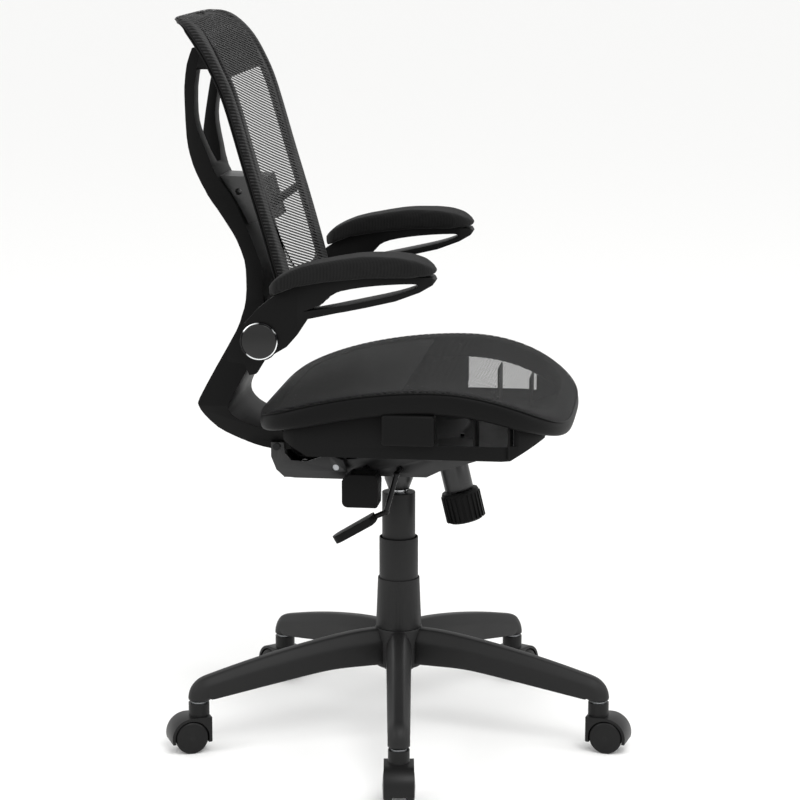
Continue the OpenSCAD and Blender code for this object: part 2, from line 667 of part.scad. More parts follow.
module arm_pins() {
    color("#b8babc") for (s = [-1, 1]) rod_y(arm_pin_r, min(s * (wing_y - 39), s * (arm_y + arm_t / 2 - 1)),
        max(s * (wing_y - 39), s * (arm_y + arm_t / 2 - 1)), pivot_x, pivot_z);
}
module back_frame() {
    color("#262626") intersection() {
        across(-300, 300) polygon(band(back_front, mesh_t, mesh_t + back_t));
        along(-500, 0) {
            difference() {
                polygon(back_outline(0));
                intersection() {
                    polygon(back_outline(back_rim));
                    translate([-300, back_low + 30]) square([600, mech_z + 590 - back_low - 30]);
                }
            }
            // lumbar cross bar
            translate([-back_w / 2 + 6, mech_z + 400]) square([back_w - 12, 36]);
        }
    }
}
module back_mesh() {
    color("#3c3c3c") intersection() {
        across(-300, 300) polygon(band(back_front, 0, mesh_t));
        along(-500, 0) polygon(back_outline(0));
    }
}
// rear face of the back frame at height z
function rear_at(z) = let (p = shifted(back_front, mesh_t + back_t))
    lookup(z, [for (i = [0:30]) [p[i][1], p[i][0]]]);
// front face of the spine at height z
function spine_at(z) = lookup(z - mech_z, [for (q = spine_curve(spine_front)) [q[1], q[0]]]);
module upper_mounts() {
    color("#1f1f1f") for (s = [-1, 1]) {
        intersection() {
            translate([-300, s * top_spread, mech_z + 630]) rotate([0, 90, 0]) cylinder(r = 14, h = 80);
            across(-300, 300) polygon(concat([for (z = [mech_z + 610:7:mech_z + 645]) [rear_at(z) - 0.02, z]],
                [for (z = [mech_z + 645:-6:mech_z + 610]) [spine_at(z) + 0.02, z]]));
        }
        translate([-293, s * top_spread, mech_z + 630]) rotate([0, 90, 0]) cylinder(r = 4, h = 20);
    }
}
module lumbar_bracket() {
    color("#4a4a4a") difference() {
        across(-36, 36) polygon(concat([for (z = [mech_z + 390:12:mech_z + 450]) [rear_at(z) - 0.02, z]],
            [for (z = [mech_z + 452:-6:mech_z + 380]) [spine_at(z) + 0.1, z]]));
        rod_y(5, -50, 50, -238, mech_z + 428);
    }
}

// ---- arms: drawn for the right side (y < 0) and mirrored for the left ----

module arm_side() {
    difference() {
        polygon(concat([for (q = [[-184, 272], [-168, 290], [-151, 304], [-133, 315.5], [-112, 325.5], [-70, 333.5],
            [-7, 340.5], [34, 342.5], [65, 342.5], [84, 340.5], [88, 336], [84, 330], [66, 320], [32, 307], [-10, 297],
            [-52, 288], [-96, 277], [-113, 251], [-126, 236], [-146, 224]]) [q[0], mech_z + q[1]]],
            [for (a = [-55:-12.5:-180]) [pivot_x + boss_r * cos(a), pivot_z + boss_r * sin(a)]]));
        polygon([for (q = smooth([[-100, 288], [-85, 291], [-52, 297], [-10, 306], [32, 316], [56, 324], [64, 330], [56, 332], [20, 330],
            [-15, 326], [-45, 320], [-62, 312], [-72, 301], [-84, 295]], 2)) [q[0], mech_z + q[1]]]);
    }
}
module arm_frame() {
    color("#1f1f1f") difference() {
        intersection() {
            across(-arm_y - 60, -arm_y + 60) arm_side();
            translate([0, -arm_y, 0]) linear_extrude(900) {
                translate([-230, -arm_t / 2]) square([140, arm_t]);
                polygon([[-110, -arm_t / 2], [-40, -loop_w / 2], [70, -loop_w / 2], [84, -loop_w / 2 + 6], [89, -8], [89, 8],
                    [84, loop_w / 2 - 6], [70, loop_w / 2], [-40, loop_w / 2], [-110, arm_t / 2]]);
            }
        }
        rod_y(arm_pin_r + run_gap, -400, 0, pivot_x, pivot_z);
    }
}
module arm_pad() {
    color("#2b2b2b") intersection() {
        across(-arm_y - 60, -arm_y + 60) polygon([for (q = concat([[-151, 304.5], [-133, 316], [-112, 326], [-70, 334], [-7, 341], [34, 343], [65, 343],
            [86, 341]], smooth([[90, 347], [84, 353], [73, 360], [56, 365], [31, 368], [-11, 368], [-35, 365], [-63, 360], [-103, 351],
            [-140, 334], [-152, 320]], 2))) [q[0], mech_z + q[1]]]);
        translate([0, -arm_y, 0]) linear_extrude(900) polygon(concat(
            [for (a = [-90:15:90]) [50 + 40 * cos(a), pad_w / 2 * sin(a)]],
            [for (a = [90:15:270]) [-124 + 29 * cos(a), (pad_w / 2 - 8) * sin(a)]]));
    }
}
module chrome_ring() {
    color("#d0d2d4") translate([pivot_x, -arm_y - arm_t / 2, pivot_z]) rotate([90, 0, 0])
        rotate_extrude() polygon([[22, 0], [27, 0], [27, 2], [26, 3.5], [24, 4.2], [22, 3.5]]);
}
module pivot_cap() {
    color("#1a1a1a") translate([pivot_x, -arm_y - arm_t / 2, pivot_z]) rotate([90, 0, 0])
        rotate_extrude() polygon([[0, 0], [22 - push_gap, 0], [22 - push_gap, 2.6], [18, 3.6], [10, 4.4], [0, 4.6]]);
}

// ---- drawing ----

star_base();
caster_stems();
gas_outer_tube();
guide_bushing();
thrust_bearing();
lower_cover();
mid_cover();
piston_rod();
pressure_cylinder();
release_pin();
top_cover();
mechanism_housing();
tilt_axle();
tension_spring();
tension_bolt();
tension_knob();
lift_lever_rod();
lift_lever_paddle();
tilt_lock_lever();
seat_plate();
seat_carrier();
seat_frame();
seat_mesh();
seat_bolts();
recline_pin();
recline_lever();
back_bracket();
back_bolts();
spine_frame();
back_frame();
back_mesh();
upper_mounts();
lumbar_bracket();
arm_pins();
arm_frame();  // right_arm_frame
arm_pad();  // right_arm_pad
pivot_cap();  // right_pivot_cap
chrome_ring();  // right_chrome_ring
mirror([0, 1, 0]) arm_frame();  // left_arm_frame
mirror([0, 1, 0]) arm_pad();  // left_arm_pad
mirror([0, 1, 0]) pivot_cap();  // left_pivot_cap
mirror([0, 1, 0]) chrome_ring();  // left_chrome_ring
for (i = [0:legs - 1]) {
    color("#1c1c1c") at_leg(i) caster_housing();
    color("#222222") at_leg(i) caster_wheel(1);
    color("#222222") at_leg(i) caster_wheel(-1);
}
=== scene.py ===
import math

import bmesh
import bpy
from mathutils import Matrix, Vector
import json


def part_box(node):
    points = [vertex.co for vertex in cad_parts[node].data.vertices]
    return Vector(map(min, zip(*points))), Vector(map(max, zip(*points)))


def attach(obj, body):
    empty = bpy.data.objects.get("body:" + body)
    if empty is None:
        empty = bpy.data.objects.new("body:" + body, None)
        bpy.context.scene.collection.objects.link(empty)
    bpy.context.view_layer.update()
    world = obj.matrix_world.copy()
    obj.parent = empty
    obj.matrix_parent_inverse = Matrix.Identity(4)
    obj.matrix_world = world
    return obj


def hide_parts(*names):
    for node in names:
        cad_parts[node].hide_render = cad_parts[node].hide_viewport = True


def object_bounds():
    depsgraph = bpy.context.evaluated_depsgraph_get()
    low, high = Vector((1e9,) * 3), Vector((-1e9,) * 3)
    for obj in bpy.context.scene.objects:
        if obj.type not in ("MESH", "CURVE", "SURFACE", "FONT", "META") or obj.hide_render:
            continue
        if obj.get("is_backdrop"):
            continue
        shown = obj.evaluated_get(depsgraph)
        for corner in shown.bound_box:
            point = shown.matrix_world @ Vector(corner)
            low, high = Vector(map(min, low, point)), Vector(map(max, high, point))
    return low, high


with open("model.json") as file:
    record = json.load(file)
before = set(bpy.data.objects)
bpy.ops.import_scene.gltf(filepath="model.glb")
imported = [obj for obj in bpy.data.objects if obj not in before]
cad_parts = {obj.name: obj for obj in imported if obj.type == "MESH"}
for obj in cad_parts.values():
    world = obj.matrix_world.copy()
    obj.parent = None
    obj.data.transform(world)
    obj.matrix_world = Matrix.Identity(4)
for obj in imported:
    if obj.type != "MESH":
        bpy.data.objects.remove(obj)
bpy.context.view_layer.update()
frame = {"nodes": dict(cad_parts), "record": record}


# ---- camera --------------------------------------------------------------------------------------
# A long lens about four metres off the chair's right side. It stands a little higher than the top
# of the back and looks slightly down.
TURN, DOWN = math.radians(7.37), math.radians(11.39)
STAND_OFF, EYE_HEIGHT = 3.95145, 1.32019
lens = bpy.data.cameras.new("camera")
lens.lens, lens.sensor_width, lens.shift_x = 118.8, 36, 0.0016
lens.clip_end = 200
camera = bpy.data.objects.new("camera", lens)
camera.location = (STAND_OFF * math.sin(TURN), -STAND_OFF * math.cos(TURN), EYE_HEIGHT)
camera.rotation_euler = (math.pi / 2 - DOWN, 0, TURN)
bpy.context.scene.collection.objects.link(camera)
bpy.context.scene.camera = camera
bpy.context.scene.view_settings.view_transform = "Standard"


# ---- floor ---------------------------------------------------------------------------------------
# Matt, nearly white lino, laid flat and far wider than the view so that no edge shows.
def linear(hexa):
    """An sRGB hex colour as linear RGBA."""
    parts = [int(hexa[i:i + 2], 16) / 255 for i in (1, 3, 5)]
    return (*[c / 12.92 if c <= 0.04045 else ((c + 0.055) / 1.055) ** 2.4 for c in parts], 1)


def add(tree, kind, settings=None, **links):
    """Adds a node: settings for its inputs and properties, links as input name -> socket."""
    new = tree.nodes.new("ShaderNode" + kind)
    for key, value in (settings or {}).items():
        if isinstance(key, int) or key in new.inputs:
            new.inputs[key].default_value = value
        else:
            setattr(new, key, value)
    for key, socket in links.items():
        key = int(key[1:]) if key[0] == "i" and key[1:].isdigit() else key.replace("_", " ")
        tree.links.new(socket, new.inputs[key])
    return new


def blank(name):
    """A new material's node tree and its Principled shader."""
    made = bpy.data.materials.new(name)
    made.use_nodes = True
    return made, made.node_tree, made.node_tree.nodes["Principled BSDF"]


bpy.ops.object.select_all(action="DESELECT")
bpy.ops.mesh.primitive_plane_add(size=80, location=(0, 0, 0))
floor = bpy.context.active_object
floor.name = "floor"
lino, tree, shader = blank("matt_pale_lino")
shader.inputs["Base Color"].default_value = linear("#f6f6f5")
shader.inputs["Roughness"].default_value = 0.9
shader.inputs["Specular IOR Level"].default_value = 0.1
floor.data.materials.append(lino)
floor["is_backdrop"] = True


# ---- light ---------------------------------------------------------------------------------------
# A white tent lights the chair evenly from all round, so shadows stay faint.
# Three large softboxes give the black mouldings their soft highlights.
world = bpy.data.worlds.new("tent")
world.use_nodes = True
world.node_tree.nodes["Background"].inputs["Color"].default_value = (1, 1, 1, 1)
world.node_tree.nodes["Background"].inputs["Strength"].default_value = 1.02
bpy.context.scene.world = world

for name, place, aim, size, power in (
        ("softbox_high", (1.2, -2.2, 3.6), (0.0, 0.0, 0.6), 2.0, 70),
        ("softbox_front", (3.2, -0.6, 2.0), (0.0, 0.0, 0.6), 1.8, 30),
        ("softbox_rear", (-2.6, -1.8, 2.2), (-0.1, 0.0, 0.7), 1.6, 30)):
    lamp = bpy.data.lights.new(name, "AREA")
    lamp.size, lamp.energy = size, power
    box = bpy.data.objects.new(name, lamp)
    box.location = place
    box.rotation_euler = (Vector(aim) - Vector(place)).to_track_quat("-Z", "Y").to_euler()
    bpy.context.scene.collection.objects.link(box)


# ---- five-star base ------------------------------------------------------------------------------
# One injection moulding in glass-filled nylon: five arched legs on a hub that grips the gas lift.
# Each leg has a narrow flat along its crest, sloped shoulders, and is hollow and ribbed below.
def moulded(name, colour, pale, rough, grain=0.7, depth=0.12, shine=0.3):
    """Injection-moulded plastic: spark-eroded grain of `grain` mm, faint flow marks, and a painted highlight
    that lightens its sharp convex edges.
    """
    made, tree, shader = blank(name)
    shader.inputs["Specular IOR Level"].default_value = shine
    place = add(tree, "TexCoord").outputs["Object"]
    skin = add(tree, "TexNoise", {"Scale": 1000 / grain, "Detail": 2.0}, Vector=place)
    flow = add(tree, "TexNoise", {"Scale": 14.0, "Detail": 3.0}, Vector=place)
    # Painted highlight: sharp convex edges are mixed towards the pale colour.
    edge = add(tree, "ValToRGB", i0=add(tree, "NewGeometry").outputs["Pointiness"])
    edge.color_ramp.elements[0].position, edge.color_ramp.elements[1].position = 0.51, 0.60
    part_flow = add(tree, "Math", {"operation": "MULTIPLY", 1: 0.45}, i0=flow.outputs["Fac"])
    tone = add(tree, "Mix", {"data_type": "RGBA", 6: linear(colour), 7: linear(pale)}, i0=part_flow.outputs[0])
    painted_highlight_weight = add(tree, "Math", {"operation": "MULTIPLY", 1: 0.6}, i0=edge.outputs[0])
    painted_edge_highlight = add(tree, "Mix", {"data_type": "RGBA", 7: linear(pale)}, i0=painted_highlight_weight.outputs[0], i6=tone.outputs[2])
    tree.links.new(painted_edge_highlight.outputs[2], shader.inputs["Base Color"])
    spread = add(tree, "MapRange", {"To Min": rough - 0.06, "To Max": rough + 0.08}, Value=flow.outputs["Fac"])
    tree.links.new(spread.outputs[0], shader.inputs["Roughness"])
    bump = add(tree, "Bump", {"Strength": depth, "Distance": 0.0002}, Height=skin.outputs["Fac"])
    tree.links.new(bump.outputs[0], shader.inputs["Normal"])
    return made


def loft(name, rings, closed=False):
    """A circle of vertices laid on the first ring of points, extruded and moved on to each next ring."""
    bpy.ops.object.select_all(action="DESELECT")
    bpy.ops.mesh.primitive_circle_add(vertices=len(rings[0]), radius=1)
    piece = bpy.context.active_object
    piece.name = piece.data.name = name
    bpy.ops.object.mode_set(mode="EDIT")
    skin = bmesh.from_edit_mesh(piece.data)
    ring = [v.index for v in skin.verts]
    for vert, point in zip(skin.verts, rings[0]):
        vert.co = point
    for points in rings[1:]:
        bpy.ops.mesh.extrude_region_move()
        skin = bmesh.from_edit_mesh(piece.data)
        skin.verts.ensure_lookup_table()
        skin.verts.index_update()
        ring = [next(e.other_vert(v).index for e in v.link_edges if e.other_vert(v).select)
                for v in (skin.verts[i] for i in ring)]
        for i, point in zip(ring, points):
            skin.verts[i].co = point
        bmesh.update_edit_mesh(piece.data)
    if closed:
        bpy.ops.mesh.select_all(action="SELECT")
        bpy.ops.mesh.remove_doubles(threshold=1e-6)
    else:
        bpy.ops.mesh.edge_face_add()
        bpy.ops.mesh.select_all(action="DESELECT")
        skin = bmesh.from_edit_mesh(piece.data)
        for edge in skin.edges:
            edge.select = edge.is_boundary
        bmesh.update_edit_mesh(piece.data)
        bpy.ops.mesh.edge_face_add()
    bpy.ops.mesh.select_all(action="SELECT")
    bpy.ops.mesh.normals_make_consistent(inside=False)
    bpy.ops.object.mode_set(mode="OBJECT")
    return piece


def smoothed(piece, levels=2, sharp=40):
    """Subdivides a cage into its moulded surface."""
    bpy.ops.object.select_all(action="DESELECT")
    bpy.context.view_layer.objects.active = piece
    piece.select_set(True)
    if levels:
        soft = piece.modifiers.new("soft", "SUBSURF")
        soft.levels = soft.render_levels = levels
        bpy.ops.object.modifier_apply(modifier="soft")
    bpy.ops.object.shade_smooth_by_angle(angle=math.radians(sharp))
    return piece


def joined(name, parts):
    """Several meshes as one piece."""
    bpy.ops.object.select_all(action="DESELECT")
    for part in parts:
        part.select_set(True)
    bpy.context.view_layer.objects.active = parts[0]
    if len(parts) > 1:
        bpy.ops.object.join()
    parts[0].name = parts[0].data.name = name
    return parts[0]


HUB_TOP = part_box("star_base")[1].z
HUB_R, REACH, NECK, SOCKET_R = 0.037, 0.320, 0.077, 0.0168
ROOF_SIDE = [(0.6, 0), (0.93, 0.01), (1, 0.06), (1, 0.3), (1, 0.60), (0.95, 0.68), (0.55, 0.93), (0.42, 0.99)]
ROOF = [(0, 0)] + ROOF_SIDE + [(0, 1)] + [(-across, up) for across, up in reversed(ROOF_SIDE)]


def crest(r):
    """How high the leg's top stands, that far out from the swivel axis."""
    return HUB_TOP - 0.0006 + min(0, 0.0026 - 0.11 * (r - HUB_R) - 0.34 * (r - HUB_R) ** 2)


def belly(r):
    """How high the leg's lower edge stands, that far out."""
    return HUB_TOP - 0.057 - 0.165 * max(r - 0.115, 0)


def leg_cut(low, high, half, roundness):
    """A cut across the leg, from its inner to its outer edge, blended from a roof shape to a circle."""
    points = []
    for k, (across, up) in enumerate(ROOF):
        turn = math.radians(-90 + 20 * k)
        side = (1 - roundness) * across + roundness * math.cos(turn)
        rise = (1 - roundness) * up + roundness * (1 + math.sin(turn)) / 2
        points.append((low[0] + (high[0] - low[0]) * rise, side * half, low[1] + (high[1] - low[1]) * rise))
    return points


cuts = [leg_cut((r, belly(r)), (r, crest(r)), 0.020 - 0.0035 * r / REACH, 0)
        for r in (0.024, 0.040, 0.070, 0.110, 0.150, 0.190, 0.230, 0.265, 0.290)]
inner = REACH - SOCKET_R
for k, turn in enumerate((0, 25, 48, 68, 84)):
    tilt = math.radians(turn)
    long = 0.0375 - 0.001 * k
    tip = (inner + long * math.sin(tilt), NECK + 0.0025 + long * math.cos(tilt))
    cuts.append(leg_cut((inner - 0.001, NECK + 0.0025), tip, SOCKET_R - 0.0001, (0.1, 0.3, 0.6, 0.85, 1)[k]))
cuts.append(leg_cut((inner, NECK + 0.0003), (REACH + SOCKET_R, NECK + 0.0003), SOCKET_R, 1))
leg = smoothed(loft("leg", cuts), 2, 30)
bpy.ops.object.mode_set(mode="EDIT")
bpy.ops.mesh.select_all(action="DESELECT")
under = bmesh.from_edit_mesh(leg.data)
for face in under.faces:
    centre = face.calc_center_median()
    face.select = face.normal.z < -0.8 and 0.06 < centre.x < 0.285 and abs(centre.y) < 0.0145
bmesh.update_edit_mesh(leg.data)
bpy.ops.mesh.extrude_region_move(TRANSFORM_OT_translate={"value": (0, 0, 0.016)})
bpy.ops.object.mode_set(mode="OBJECT")
ribs = []
for r in (0.095, 0.140, 0.185, 0.230, 0.265):
    bpy.ops.object.select_all(action="DESELECT")
    bpy.ops.mesh.primitive_cube_add(size=1, location=(r, 0, belly(r) + 0.011), scale=(0.003, 0.030, 0.018))
    bpy.ops.object.transform_apply(location=True, rotation=False, scale=True)
    ribs.append(bpy.context.active_object)
leg = joined("leg", [leg] + ribs)
legs = [leg]
for k in range(1, 5):
    more = leg.copy()
    more.data = leg.data.copy()
    bpy.context.scene.collection.objects.link(more)
    legs.append(more)
for k, one in enumerate(legs):
    one.rotation_euler = (0, 0, math.radians(7.4 - 90 + 72 * k))
    bpy.ops.object.select_all(action="DESELECT")
    one.select_set(True)
    bpy.context.view_layer.objects.active = one
    bpy.ops.object.transform_apply(location=False, rotation=True, scale=False)
BORE_R, HUB_FOOT = 0.0237, HUB_TOP - 0.0615
wall = [(BORE_R, HUB_FOOT), (HUB_R - 0.002, HUB_FOOT), (HUB_R, HUB_FOOT + 0.002), (HUB_R, HUB_TOP - 0.03),
        (HUB_R, HUB_TOP - 0.004), (HUB_R - 0.0012, HUB_TOP - 0.001), (HUB_R - 0.004, HUB_TOP),
        (BORE_R, HUB_TOP), (BORE_R, HUB_TOP - 0.03), (BORE_R, HUB_FOOT)]
hub = loft("hub", [[(r * math.cos(a), r * math.sin(a), z) for a in [2 * math.pi * k / 72 for k in range(72)]]
                   for r, z in wall], closed=True)
bpy.ops.object.shade_smooth_by_angle(angle=math.radians(35))
base = joined("star_base_moulding", legs + [hub])
nylon = moulded("glass_filled_nylon", "#161616", "#232323", 0.48, shine=0.2)
base.data.materials.clear()
base.data.materials.append(nylon)
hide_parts("star_base")
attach(base, "base")


# ---- gas lift ------------------------------------------------------------------------------------
# The outer steel tube sits in the hub's taper, the rod stands in its foot on a thrust bearing, and the
# cylinder slides in a grey plastic bushing. The casters' steel stems are pressed into the legs.
rides_on = {n: b for b, members in frame["record"]["behaviour"]["bodies"].items() for n in members}


def unfaceted(node, name):
    """A copy of a CAD node with its triangles merged back into flat and curved faces."""
    piece = bpy.data.objects.new(name, frame["nodes"][node].data.copy())
    bpy.context.scene.collection.objects.link(piece)
    bpy.ops.object.select_all(action="DESELECT")
    bpy.context.view_layer.objects.active = piece
    piece.select_set(True)
    bpy.ops.object.mode_set(mode="EDIT")
    bpy.ops.mesh.select_all(action="SELECT")
    bpy.ops.mesh.remove_doubles(threshold=2e-5)
    bpy.ops.mesh.dissolve_limited(angle_limit=math.radians(0.6))
    bpy.ops.object.mode_set(mode="OBJECT")
    if piece.data.has_custom_normals:
        bpy.ops.mesh.customdata_custom_splitnormals_clear()
    piece.data.materials.clear()
    return piece


def finished(node, material, edge=0.0):
    """Gives a CAD node its material, its edges broken by `edge` metres as a mould or press leaves them."""
    piece = frame["nodes"][node]
    if edge:
        piece = unfaceted(node, node + "_finished")
        bevel = piece.modifiers.new("edge", "BEVEL")
        bevel.width, bevel.segments, bevel.limit_method = edge, 3 if edge >= 0.002 else 2, "ANGLE"
        bevel.angle_limit = math.radians(30)
        bpy.ops.object.modifier_apply(modifier="edge")
        bpy.ops.object.shade_smooth_by_angle(angle=math.radians(40))
        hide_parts(node)
        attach(piece, rides_on[node])
    piece.data.materials.clear()
    piece.data.materials.append(material)


def metal(name, colour, rough, metallic=1.0, scale=60.0):
    """Steel or plate: the colour with faint handling marks in the gloss."""
    made, tree, shader = blank(name)
    shader.inputs["Metallic"].default_value = metallic
    place = add(tree, "TexCoord").outputs["Object"]
    marks = add(tree, "TexNoise", {"Scale": scale, "Detail": 5.0}, Vector=place)
    tone = add(tree, "Mix", {"data_type": "RGBA", 6: linear(colour),
                             7: tuple(c * 0.75 for c in linear(colour)[:3]) + (1,)}, i0=marks.outputs["Fac"])
    tree.links.new(tone.outputs[2], shader.inputs["Base Color"])
    spread = add(tree, "MapRange", {"To Min": rough - 0.05, "To Max": rough + 0.1}, Value=marks.outputs["Fac"])
    tree.links.new(spread.outputs[0], shader.inputs["Roughness"])
    return made


painted_steel = metal("black_powder_coated_steel", "#0e0e0f", 0.38, 0.0)
zinc_steel = metal("zinc_plated_steel", "#a9abae", 0.28)
bright_steel = metal("ground_steel", "#b9bbbd", 0.2)
grey_abs = moulded("grey_abs", "#3a3a3a", "#4a4a4a", 0.4)
finished("caster_stems", zinc_steel)
finished("gas_outer_tube", painted_steel)
finished("guide_bushing", grey_abs)
finished("thrust_bearing", zinc_steel)
for node in ("piston_rod", "pressure_cylinder", "release_pin"):
    finished(node, bright_steel)


# ---- telescopic covers ---------------------------------------------------------------------------
# Three thin nylon tubes, one sliding within the next, hide the gas lift at every seat height.
finished("lower_cover", nylon, 0.0008)
finished("mid_cover", nylon, 0.0005)
finished("top_cover", nylon, 0.0015)


# ---- tilt mechanism ------------------------------------------------------------------------------
# A pressed and powder-coated steel housing on the cylinder's taper. The seat plate rocks on its front
# axle against a coil spring, whose preload is set by a bolt with a ribbed hand knob.
shell_black = moulded("black_polypropylene", "#080808", "#101010", 0.5, shine=0.09)
finished("mechanism_housing", painted_steel, 0.0012)
for node in ("tilt_axle", "tension_spring", "tension_bolt"):
    finished(node, zinc_steel)
finished("tension_knob", shell_black, 0.0007)


# ---- levers --------------------------------------------------------------------------------------
# The lift lever is a bent black-oxide rod with a moulded paddle. The tilt lock and the recline lever
# are each one moulding. All three turn in bores of the mechanism or the back bracket.
bolt_steel = metal("black_oxide_steel", "#1d1d1e", 0.35, 0.8)
finished("lift_lever_rod", bolt_steel)
finished("lift_lever_paddle", shell_black, 0.004)
finished("tilt_lock_lever", shell_black, 0.003)
finished("recline_lever", shell_black, 0.003)


# ---- seat plate and carrier ----------------------------------------------------------------------
# A steel plate with folded ears carries the moulded tub, through which four bolts pass.
# The rear ears take the pin on which the back reclines.
finished("seat_plate", painted_steel, 0.0008)
finished("seat_carrier", shell_black, 0.0012)
finished("seat_bolts", bolt_steel)
finished("recline_pin", zinc_steel)


# ---- seat rim ------------------------------------------------------------------------------------
# A deep polypropylene hoop, saddle-shaped: high at the thighs and falling to front and back.
# It has a tab at each side that drops over the tub.
SEAT_LOW, SEAT_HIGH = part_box("seat_mesh")


def saddle(x):
    run = 0.714 if x < 0.080 else 0.310
    return SEAT_HIGH.z - run + math.sqrt(run * run - (x - 0.080) ** 2)


def evenly(points, count):
    """A closed line of points, spaced again at equal steps."""
    line = points + [points[0]]
    along = [0.0]
    for p, q in zip(line, line[1:]):
        along.append(along[-1] + math.dist(p, q))
    out, k = [], 0
    for i in range(count):
        want = along[-1] * i / count
        while along[k + 1] < want:
            k += 1
        part = (want - along[k]) / (along[k + 1] - along[k])
        out.append(tuple(a + (b - a) * part for a, b in zip(line[k], line[k + 1])))
    return out


def seat_loop(inset, drop, count=120):
    """A loop round the seat, that far in from its edge and below its top."""
    dense = []
    for k in range(1440):
        c, s = math.cos(math.pi * k / 720), math.sin(math.pi * k / 720)
        power = 2 / (5.4 if c < 0 else 3.8)
        reach = (SEAT_HIGH.x - 0.040 if c > 0 else 0.040 - SEAT_LOW.x) - inset
        dense.append((0.040 + math.copysign(reach * abs(c) ** power, c),
                      math.copysign((SEAT_HIGH.y - inset) * abs(s) ** power, s)))
    shrink = [1 - (max(0, x - 0.2) * 0.15 + max(0, -0.1 - x) * 0.08) / 0.035 for x, y in evenly(dense, count)]
    return [(x, y, saddle(x) - drop * (thin if drop > 0.012 else 1))
            for (x, y), thin in zip(evenly(dense, count), shrink)]


hoop = [(0.026, 0.0026), (0.014, 0.0024), (0.008, 0.0026), (0.0042, 0.0036), (0.0018, 0.006), (0.0008, 0.010),
        (0.0004, 0.018), (0.001, 0.026), (0.0028, 0.0315), (0.0065, 0.0352), (0.012, 0.0368), (0.020, 0.0368),
        (0.026, 0.034), (0.0285, 0.028), (0.0285, 0.012), (0.0280, 0.004), (0.026, 0.0026)]
rim = smoothed(loft("rim", [seat_loop(i, d) for i, d in hoop], closed=True), 1)
tabs = []
for side in (-1, 1):
    bpy.ops.object.select_all(action="DESELECT")
    bpy.ops.mesh.primitive_cube_add(size=1, location=(0.0445, side * 0.2352, 0.529),
                                    scale=(0.077, 0.0255, 0.046))
    bpy.ops.object.transform_apply(location=True, rotation=False, scale=True)
    tab = bpy.context.active_object
    edge = tab.modifiers.new("edge", "BEVEL")
    edge.width, edge.segments = 0.005, 4
    bpy.ops.object.modifier_apply(modifier="edge")
    bpy.ops.object.shade_smooth_by_angle(angle=math.radians(40))
    tabs.append(tab)
rim = joined("seat_rim", [rim] + tabs)
rim.data.materials.clear()
rim.data.materials.append(shell_black)
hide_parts("seat_frame")
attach(rim, "seat")


# ---- seat mesh -----------------------------------------------------------------------------------
# Charcoal elastomeric mesh, stretched over the rim and edged by a thin piped seam.
# The rear of the seat has a close dark lining under the mesh, which is also painted shade: through the holes
# it shows near black, as the shade under the seat would.
def bead(name, loop, radius, sides=8):
    """A thin round bead that follows a closed loop of points."""
    rings = []
    count = len(loop)
    for k in range(count):
        here, before, after = Vector(loop[k]), Vector(loop[k - 1]), Vector(loop[(k + 1) % count])
        ahead = (after - before).normalized()
        flank = ahead.cross(Vector((0, 0, 1)) if abs(ahead.z) < 0.9 else Vector((1, 0, 0))).normalized()
        lift = ahead.cross(flank)
        turns = [2 * math.pi * j / sides for j in range(sides)]
        rings.append([tuple(here + radius * (math.cos(a) * flank + math.sin(a) * lift)) for a in turns])
    made = loft(name, rings + [rings[0]], closed=True)
    bpy.ops.object.shade_smooth_by_angle(angle=math.radians(60))
    return made


